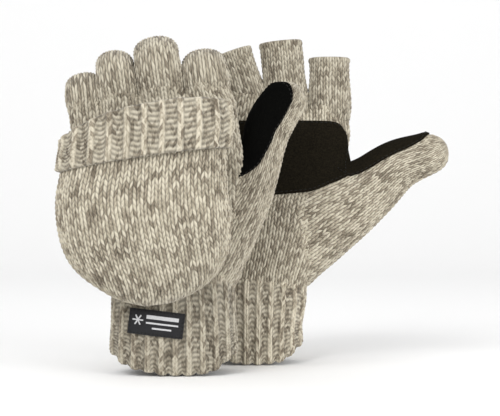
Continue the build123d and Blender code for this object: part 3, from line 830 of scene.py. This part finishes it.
# ------------------------------------------------------------------------------------ caps
# Outer knit of the cap in stockinette, from the mouth down to the rounded tip, with its inner fleece.
CAP_WALES = 62
CAP_START = 2.6  # where the knit starts below the seam
for side in gloves:
    columns = CAP_WALES * PER_WALE
    u = np.linspace(CAP_START, CAP_END, int(CAP_END / COURSE * PER_COURSE))
    base = cap_surface(side, u, columns)
    points, n, course, tone = lay_stitches(base, normals(base), u / COURSE, 45, (1.0, 5.0))
    calm = (1 - 0.8 * ease(CAP_END - 8, CAP_END, u))[:, None]
    plain = ease(-1.0, 6.0, HINGE_Y - points[..., 1])
    height = (0.30 + 0.75 * plain) * tone * calm + wander(points, 21, 70, 0.9) * plain - 0.25
    cap = finish_tube(side + "_cap_knit", side, points, n, height, tone, (CAP_WALES, course), WOOL,
                      2.6, side + "_cap", (2, None), pole=True)
    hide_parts(side + "_cap_shell", side + "_cap_mouth_panel")
    inner_u = np.linspace(CAP_START, CAP_END - 16, 40)
    inner = cap_surface(side, inner_u, 96, lift=-3.2)
    lining = add_mesh(side + "_cap_lining_cloth", side, inner[:, ::-1], (24, inner_u / COURSE),
                      np.ones(inner.shape[:2]), LINING, pole=True)
    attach(lining, side + "_cap")
    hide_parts(side + "_cap_lining", side + "_cap_insulation")

# ------------------------------------------------------------------------------------ turned-back rib bands
# The cap's mouth ends in a rib that is turned back over it: it rolls over at the mouth and ends in a free
# cast-on edge.  It goes round the front and both sides, up to the seam.
BAND_DEEP = 29.3  # from the fold to the free edge
BAND_IN = 10.0  # length of the inner layer below the fold
BAND_STAND = 3.4  # how far the outer layer stands off the cap
BAND_RIB = CAP_WALES / 25  # wales in a rib of the band, 25 ribs to a full round
BAND_KNIT = 0.8  # wales of it that are raised
BAND_FROM, BAND_TO = -0.03, 0.545  # share of the way round at which the band starts and ends
for side in gloves:
    around = CAP_WALES * PER_WALE
    columns = np.arange(int(around * BAND_FROM), int(around * BAND_TO))
    outer_rows = int(BAND_DEEP / COURSE * 8)
    fold = np.linspace(0, pi, 15)
    # the path across the band goes up the inside, over the fold, down the outside and round the free edge
    path_u = np.concatenate([np.linspace(BAND_IN, 1, 8), 0.6 - 2.4 * np.sin(fold)[1:-1],
                             np.linspace(1, BAND_DEEP, outer_rows),
                             [BAND_DEEP + 0.7, BAND_DEEP + 0.8, BAND_DEEP + 0.2, BAND_DEEP - 4]])
    path_out = np.concatenate([np.full(8, -0.8),
                               -0.8 + (BAND_STAND + 0.8) * (0.5 - 0.5 * np.cos(fold))[1:-1],
                               BAND_STAND + 0.7 * np.sin(np.linspace(0, pi, outer_rows)) ** 2,
                               [BAND_STAND - 0.5, BAND_STAND - 1.3, BAND_STAND - 2.0, BAND_STAND - 2.1]])
    form = cap_surface(side, np.maximum(path_u, 0.0), around)
    lean = gloves[side]["lean"]
    above = np.minimum(path_u, 0.0)
    form[..., 0] -= above[:, None] * sin(lean)
    form[..., 2] -= above[:, None] * cos(lean)
    n = normals(cap_surface(side, np.maximum(np.sort(path_u), 0.0) + np.arange(len(path_u)) * 1e-3, around))
    n = n[np.argsort(np.argsort(path_u))]
    length = np.concatenate([[0], np.cumsum(np.hypot(np.diff(path_u), np.diff(path_out)))])
    courses = length / COURSE
    wale = columns[None, :] / PER_WALE + 0 * length[:, None]
    course = courses[:, None] + 0 * wale
    tone, step = rib(wale, course, BAND_RIB, BAND_KNIT, 1.7)
    first = 8 + len(fold) - 2
    facing = np.zeros(len(path_u))
    facing[first : first + outer_rows] = 1
    facing[8:first] = np.linspace(0, 1, len(fold) - 2)
    facing[first + outer_rows :] = [0.7, 0.3, 0, 0]
    ends = np.minimum(columns - columns[0], columns[-1] - columns) / PER_WALE
    ends = ease(0, 4, ends)[None, :]
    yarn = facing[:, None] * (0.9 * tone + step) * (0.4 + 0.6 * ends)
    lift = path_out[:, None] * (0.25 + 0.75 * ends) + yarn
    out = n[:, columns % around]
    points = form[:, columns % around] + out * lift[..., None]
    points = points + out * (wander(points, 33, 45, 0.5) * facing[:, None])[..., None]
    # through the relief, the sunk purl between the band's ribs gets painted shade
    band = add_mesh(side + "_cap_band_knit", side, points, (CAP_WALES * len(columns) / around, courses),
                    0.8 * tone + 0.12 * step, WOOL, wrap=False)
    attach(band, side + "_cap")
    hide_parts(side + "_cap_rib_band")

# ------------------------------------------------------------------------------------ cap seams
# The cap is overlocked to the back of the knuckles: a round ridge wound with close slanting stitches.
SEAM_REACH = 46.0
SEAM_THICK = 1.7
for side in gloves:
    along = np.linspace(-SEAM_REACH, SEAM_REACH, 520)
    lean = gloves[side]["lean"]
    centre = np.stack([HINGE_UP * sin(lean) + along * cos(lean), HINGE_Y + 0 * along,
                       WRIST_Z + HINGE_UP * cos(lean) - along * sin(lean)], 1)
    angle = np.linspace(0, 2 * pi, 18, endpoint=False)
    twist = 0.22 * np.sin(2 * pi * along[:, None] / 2.4 + angle[None, :])
    taper = np.sqrt(np.clip(1 - (np.abs(along) / (SEAM_REACH + 0.5)) ** 14, 0, 1))[:, None]
    radius = (SEAM_THICK + twist) * taper
    deep = np.stack([radius * np.cos(angle), radius * np.sin(angle)], -1)
    up = np.array([sin(lean), 0, cos(lean)])
    points = centre[:, None] + deep[..., 1:] * up + deep[..., :1] * np.array([0, -1.0, 0])
    points = points[:, ::-1]
    # the relief follows the twist, so the grooves of the winding get painted shade
    seam = add_mesh(side + "_cap_seam_stitch", side, points, (4, along / COURSE), 0.5 + twist, WOOL)
    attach(seam, side + "_hand")
    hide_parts(side + "_cap_seam")


# ------------------------------------------------------------------------------------ suede patches
# Thin suede, cut with rounded corners and sewn flat on the knit: one on the palm, one along the thumb on
# the side that meets the forefinger.  A row of dark stitches runs round each, just inside its edge.
SUEDE_THICK = 1.0
NOTHING = -40.0  # a depth behind the glove's back, for places with no surface
PATCH_LIFT = 0.6  # the suede's underside over the form, pressed into the yarn
SEW_LINE = 0.94  # where the stitches run, as a share of the way from the middle to the edge


def drape(side, x, z):
    """The palm side's outer surface over places in the glove frame, softened into a smooth sheet."""
    y = np.full(x.shape, NOTHING)
    for k in np.ndindex(x.shape):
        for tree in OUTER[side]:
            hit = tree.ray_cast(Vector((x[k], 90, z[k])), Vector((0, -1, 0)))[0]
            if hit is not None:
                y[k] = max(y[k], hit.y)
    missed = y <= NOTHING
    for _ in range(60):  # places beside the hand take on the mean of their neighbours, from its edge outward
        if not missed.any():
            break
        wide = np.pad(y, 1, mode="edge")
        near = np.stack([wide[:-2, 1:-1], wide[2:, 1:-1], wide[1:-1, :-2], wide[1:-1, 2:]])
        known = near > NOTHING
        mean = np.where(known, near, 0).sum(0) / np.maximum(known.sum(0), 1)
        fill = missed & known.any(0)
        y[fill] = mean[fill]
        missed = y <= NOTHING
    for _ in range(6):
        wide = np.pad(y, 1, mode="edge")
        near = (wide[:-2, 1:-1] + wide[2:, 1:-1] + wide[1:-1, :-2] + wide[1:-1, 2:]) / 4
        y = np.maximum(0.5 * y + 0.5 * near, y - 0.05)
    return np.stack([x, y, z], -1)


def grid_normals(points, towards):
    """Outward directions of an open grid; towards is the side they all face, one direction per point."""
    n = np.cross(np.gradient(points, axis=1), np.gradient(points, axis=0))
    n /= np.maximum(np.linalg.norm(n, axis=2, keepdims=True), 1e-9)
    return n * np.sign((n * towards).sum(-1, keepdims=True))


def slab_faces(h, w):
    """The faces of a closed slab over h rows of w points, the top's points first, then the underside's."""
    faces = []
    for r in range(h - 1):
        for c in range(w - 1):
            quad = (r * w + c, r * w + c + 1, (r + 1) * w + c + 1, (r + 1) * w + c)
            faces += [quad, tuple(w * h + k for k in reversed(quad))]
    border = list(range(w)) + [r * w + w - 1 for r in range(1, h)]
    border += [(h - 1) * w + c for c in range(w - 2, -1, -1)] + [r * w for r in range(h - 2, 0, -1)]
    for k, p in enumerate(border):
        q = border[(k + 1) % len(border)]
        faces.append((p, w * h + p, w * h + q, q))
    return faces


def add_sewn(name, side, points, faces, material, rounded=True):
    """A piece of the glove frame's points, fixed to the hand; rounded ones are shaded smooth."""
    mesh = bpy.data.meshes.new(name)
    mesh.from_pydata([tuple(p) for p in set_down(side, points)], [], faces)
    if rounded:
        mesh.polygons.foreach_set("use_smooth", np.ones(len(faces), bool))
    mesh.materials.append(material)
    piece = bpy.data.objects.new(name, mesh)
    bpy.context.collection.objects.link(piece)
    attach(piece, side + "_hand")
    return piece


def thin_piece(name, side, form, out, low, high, edge, material):
    """A closed thin piece over an open grid of points, from low to high above it, thinner at its edge."""
    h, w = form.shape[:2]
    top = form + out * (high - (high - low) * 0.5 * edge)[..., None]
    points = np.concatenate([top.reshape(-1, 3), (form + out * low).reshape(-1, 3)])
    faces = slab_faces(h, w)
    m = (h // 2) * w + w // 2
    facing = Vector(points[m + 1] - points[m]).cross(Vector(points[m + w] - points[m]))
    if facing.dot(Vector(out[h // 2, w // 2])) * gloves[side]["turn"] < 0:
        faces = [tuple(reversed(f)) for f in faces]
    return add_sewn(name, side, points, faces, material)


def ring_path(form, share):
    """A closed path over an open grid, that share of the way from its middle to its edge."""
    h, w = form.shape[:2]
    line = np.linspace(-share, share, 80)
    b = np.concatenate([np.full(80, -share), line, np.full(80, share), -line])
    a = np.concatenate([line, np.full(80, share), -line, np.full(80, -share)])
    return read_grid(form, (b + 1) / 2 * (h - 1), (a + 1) / 2 * (w - 1.001))


def sew_stitches(name, side, path, out, pitch, length, thick, material):
    """A row of short stitches along a closed path, each a small bowed capsule on the surface."""
    closed, out = np.vstack([path, path[:1]]), np.vstack([out, out[:1]])
    distance = np.concatenate([[0], np.cumsum(np.linalg.norm(np.diff(closed, axis=0), axis=1))])
    count = int(distance[-1] / pitch)
    points, faces = [], []
    for k in range(count):
        middle = (k + 0.5) * distance[-1] / count
        at = np.clip(middle + np.linspace(-length / 2, length / 2, 5), 0, distance[-1])
        line = np.stack([np.interp(at, distance, closed[:, j]) for j in range(3)], 1)
        up = np.array([np.interp(middle, distance, out[:, j]) for j in range(3)])
        along = line[-1] - line[0]
        beside = np.cross(up, along / max(np.linalg.norm(along), 1e-9))
        start = len(points)
        for j, (bow, size) in enumerate(zip((-0.35, 0.4, 0.7, 0.4, -0.35), (0.35, 0.9, 1.0, 0.9, 0.35))):
            for q in range(6):
                t = 2 * pi * q / 6
                points.append(line[j] + thick * (up * (bow + size * sin(t) * 0.7) + beside * size * cos(t)))
        for j in range(4):
            for q in range(6):
                n = (q + 1) % 6
                ring = start + j * 6
                faces.append((ring + n, ring + q, ring + 6 + q, ring + 6 + n))
        faces.append(tuple(start + q for q in range(6)))
        faces.append(tuple(start + 24 + q for q in reversed(range(6))))
    if gloves[side]["turn"] < 0:
        faces = [tuple(reversed(f)) for f in faces]
    return add_sewn(name, side, points, faces, material)


def sew_patch(side, kind, form, out):
    """A suede patch over an open grid, with its row of stitches; gives back the stitches."""
    h, w = form.shape[:2]
    a, b = np.meshgrid(np.linspace(-1, 1, w), np.linspace(-1, 1, h))
    edge = ease(0.95, 1.0, np.maximum(np.abs(a), np.abs(b)))
    patch = thin_piece(f"{side}_{kind}_suede", side, form, out, PATCH_LIFT - 0.3, PATCH_LIFT + SUEDE_THICK,
                       edge, SUEDE[side])
    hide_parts(f"{side}_{kind}_patch")
    path = ring_path(form, SEW_LINE) + ring_path(out, SEW_LINE) * (PATCH_LIFT + SUEDE_THICK)
    stitches = sew_stitches(f"{side}_{kind}_suede_stitches", side, path, ring_path(out, SEW_LINE),
                            3.2, 2.2, 0.32, THREAD)
    return stitches


# The right palm's patch is cut level and runs on to the base of the thumb: (x, lower edge, upper edge).
PALM_CUT = [
    (-30, 117, 160), (-27, 114.6, 163.4), (-23, 114.2, 164.8), (10, 114, 165), (30, 115.4, 165),
    (42, 116.6, 165), (48, 118.6, 165), (55, 121.8, 164.8), (60, 123.8, 164.0), (63, 125.2, 161.8),
    (65.8, 126.5, 157.5), (68, 127.6, 149), (69.2, 128.3, 140),
]
# The left palm's is a plain rounded rectangle: middle above the wrist, and half its width and height.
PALM_PLAIN = (86.5, 40.0, 24.5)
# On each thumb: the shares of its length the patch lies between, and for places from its foot to its top the
# middle and half width, as shares of the way round.
THUMB_CUT = {
    "left": ((0.42, 0.972), [(-1, 0.60, 0.02), (-0.75, 0.58, 0.09), (-0.4, 0.58, 0.17),
                             (0, 0.595, 0.195), (0.45, 0.625, 0.205), (1, 0.66, 0.20)]),
    "right": ((0.50, 0.95), [(-1, 0.50, 0.145), (-0.3, 0.50, 0.15), (0.4, 0.49, 0.15), (1, 0.485, 0.12)]),
}
THUMB_READ = 0.3  # the thumb's form is read from this share of its length up
for side in gloves:
    a, b = np.meshgrid(np.linspace(-1, 1, 90), np.linspace(-1, 1, 56))
    if side == "right":
        cut = np.array(PALM_CUT, float)
        x = cut[0, 0] + (cut[-1, 0] - cut[0, 0]) * (a + 1) / 2
        lower, upper = np.interp(x, cut[:, 0], cut[:, 1]), np.interp(x, cut[:, 0], cut[:, 2])
        z = lower + (upper - lower) * (b + 1) / 2
        width, tall = cut[-1, 0] - cut[0, 0], (cut[:, 2] - cut[:, 1]).max()
    else:
        at, half, tall = PALM_PLAIN
        corner_a, corner_b = a * np.sqrt(1 - 0.12 * b**8), b * np.sqrt(1 - 0.12 * a**8)
        centre, across = hand_rows(side, np.array([at]))
        lean = gloves[side]["lean"]
        x = centre[0, 0] + half * corner_a * cos(lean) + tall * corner_b * sin(lean)
        z = centre[0, 2] - half * corner_a * sin(lean) + tall * corner_b * cos(lean)
        width, tall = 2 * half, 2 * tall
    form = drape(side, x, z)
    out = grid_normals(form, np.array([0, 1.0, 0]))
    stitches = sew_patch(side, "palm", form, out)
    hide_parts(side + "_palm_patch_stitching")

    shares, places = THUMB_CUT[side]
    a, b = np.meshgrid(np.linspace(-1, 1, 44), np.linspace(-1, 1, 72))
    corner_a, corner_b = a * np.sqrt(1 - 0.42 * b**2), b * np.sqrt(1 - 0.36 * a**2)
    places = np.array(places)
    middle = np.interp(corner_b, places[:, 0], places[:, 1])
    half = np.interp(corner_b, places[:, 0], places[:, 2])
    grid, _ = thumb_surface(side, np.linspace(THUMB_READ, 1, 140), 160)
    coarse = fillet(grid[::4, ::4], FORM_TREES[side]["hand"], THUMB_FILLET)
    grid = grid + normals(grid) * spread(coarse, grid.shape[:2])[..., None]
    row = (shares[0] + (shares[1] - shares[0]) * (corner_b + 1) / 2 - THUMB_READ) / (1 - THUMB_READ) * 139
    form = read_grid(grid, row, (middle + half * corner_a) * 160)
    out = read_grid(normals(grid), row, (middle + half * corner_a) * 160)
    out /= np.linalg.norm(out, axis=2, keepdims=True)
    lines = form + out
    width = float(np.linalg.norm(np.diff(lines, axis=1), axis=2).sum(1).max())
    tall = float(np.linalg.norm(np.diff(lines, axis=0), axis=2).sum(0).max())
    sew_patch(side, "thumb", form, out)

# ------------------------------------------------------------------------------------ labels
# A small black woven label on the back of each cuff, sewn at its edges.  Its device is generic: a star of
# three crossed lines and three pale bars.
LABEL_SIZE = (34.0, 15.5)
LABEL_TOP = 2.9  # its face over the cuff's form, above the ribs
LABEL_AT = (-9.4, 33.0)
LABEL_TILT = radians(6.5)
LABEL_INSET = 1.0  # of the stitches from its edge
LABEL_BARS = [(3.5, 3.3, 20, 2.2), (3.5, -0.2, 20, 1.0), (3.5, -3.2, 12, 1.0)]  # middle, width and height
STAR_AT = (-11.5, 1.0)
STROKE = (6.4, 0.8)  # length and width of each line of the star


def on_cuff(tree, a, b):
    """The cuff's back surface at a place of the label, from its middle, with its outward direction."""
    x = LABEL_AT[0] + a * cos(LABEL_TILT) + b * sin(LABEL_TILT)
    z = LABEL_AT[1] - a * sin(LABEL_TILT) + b * cos(LABEL_TILT)
    near, out, _, _ = tree.ray_cast(Vector((x, -90, z)), Vector((0, 1, 0)))
    return np.array(near), np.array(out)


def raised_block(name, side, tree, middle, size, low, high, material, turn=0.0, cells=(14, 3)):
    """A thin closed block on the cuff's surface, from low to high above it."""
    w, h = cells
    points = []
    for level in (high, low):
        for b in np.linspace(-size[1] / 2, size[1] / 2, h):
            for a in np.linspace(-size[0] / 2, size[0] / 2, w):
                p, out = on_cuff(tree, middle[0] + a * cos(turn) - b * sin(turn),
                                 middle[1] + a * sin(turn) + b * cos(turn))
                points.append(p + out * level)
    faces = slab_faces(h, w)
    if gloves[side]["turn"] < 0:
        faces = [tuple(reversed(f)) for f in faces]
    piece = add_sewn(name, side, points, faces, material, rounded=False)
    return piece


for side in gloves:
    tree = form_tree(hand_surface(side, np.linspace(-WRIST_Z, 20, 60), 96))
    label = raised_block(side + "_label_weave", side, tree, (0, 0), LABEL_SIZE, LABEL_TOP - 0.9, LABEL_TOP,
                         LABEL_CLOTH, cells=(36, 16))
    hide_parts(side + "_label")
    for number, (a, b, width, height) in enumerate(LABEL_BARS):
        raised_block(f"{side}_label_bar_{number}", side, tree, (a, b), (width, height),
                                  LABEL_TOP - 0.05, LABEL_TOP + 0.12, LABEL_PALE)
    for number in range(3):
        raised_block(f"{side}_label_star_{number}", side, tree, STAR_AT, STROKE,
                                  LABEL_TOP - 0.05, LABEL_TOP + 0.1 + 0.02 * number, LABEL_PALE,
                                  turn=pi / 3 * number, cells=(8, 3))
    w, h = LABEL_SIZE[0] / 2 - LABEL_INSET, LABEL_SIZE[1] / 2 - LABEL_INSET
    ring = [(s, -h) for s in np.linspace(-w, w, 30)] + [(w, s) for s in np.linspace(-h, h, 14)]
    ring += [(-s, h) for s in np.linspace(-w, w, 30)] + [(-w, -s) for s in np.linspace(-h, h, 14)]
    found = [on_cuff(tree, a, b) for a, b in ring]
    path = np.array([p + out * LABEL_TOP for p, out in found])
    stitches = sew_stitches(side + "_label_stitches", side, path, np.array([out for _, out in found]),
                            2.4, 1.6, 0.25, THREAD)
    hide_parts(side + "_label_stitching")

# ------------------------------------------------------------------------------------ floor, light, camera
# A plain white studio: floor and backdrop in one sweep, a large soft light high on the left, and a weaker
# one low on the right.  The camera looks level along +Y from in front of the left glove.
quarter = np.linspace(0, pi / 2, 12)
sweep_y = np.concatenate([np.linspace(-2.5, 1.2, 4), 1.2 + 0.8 * np.sin(quarter)[1:], [2.0]])
sweep_z = np.concatenate([np.zeros(4), 0.8 - 0.8 * np.cos(quarter)[1:], [3.0]])
points = [(x, y, z - 0.0002) for y, z in zip(sweep_y, sweep_z) for x in (-4, 4)]
faces = [(2 * k, 2 * k + 1, 2 * k + 3, 2 * k + 2) for k in range(len(sweep_y) - 1)]
studio = bpy.data.meshes.new("studio")
studio.from_pydata(points, [], faces)
studio.polygons.foreach_set("use_smooth", np.ones(len(faces), bool))
white = bpy.data.materials.new("studio_white")
_, principled = nodes_of(white)
principled.inputs["Base Color"].default_value = (0.93, 0.93, 0.93, 1)
principled.inputs["Roughness"].default_value = 0.9
studio.materials.append(white)
floor = bpy.data.objects.new("studio", studio)
bpy.context.collection.objects.link(floor)

world = bpy.data.worlds.new("studio_air")
bpy.context.scene.world = world
world.use_nodes = True
world.node_tree.nodes["Background"].inputs["Color"].default_value = (1, 1, 1, 1)
world.node_tree.nodes["Background"].inputs["Strength"].default_value = 0.75
for name, place, size, power in (("key", (-0.9, -1.5, 1.4), 1.2, 25), ("fill", (1.3, -1.2, 0.5), 1.2, 18)):
    light = bpy.data.lights.new(name, "AREA")
    light.energy = power
    light.size = size
    lamp = bpy.data.objects.new(name, light)
    lamp.location = place
    lamp.rotation_euler = (Vector((0, 0, 0.1)) - Vector(place)).to_track_quat("-Z", "Y").to_euler()
    bpy.context.collection.objects.link(lamp)

lens = bpy.data.cameras.new("camera")
lens.lens = 95.6
camera = bpy.data.objects.new("camera", lens)
camera.location = (-0.0087, -0.883, 0.1055)
camera.rotation_euler = (pi / 2, 0, 0)
bpy.context.collection.objects.link(camera)
bpy.context.scene.camera = camera
bpy.context.scene.view_settings.view_transform = "Standard"
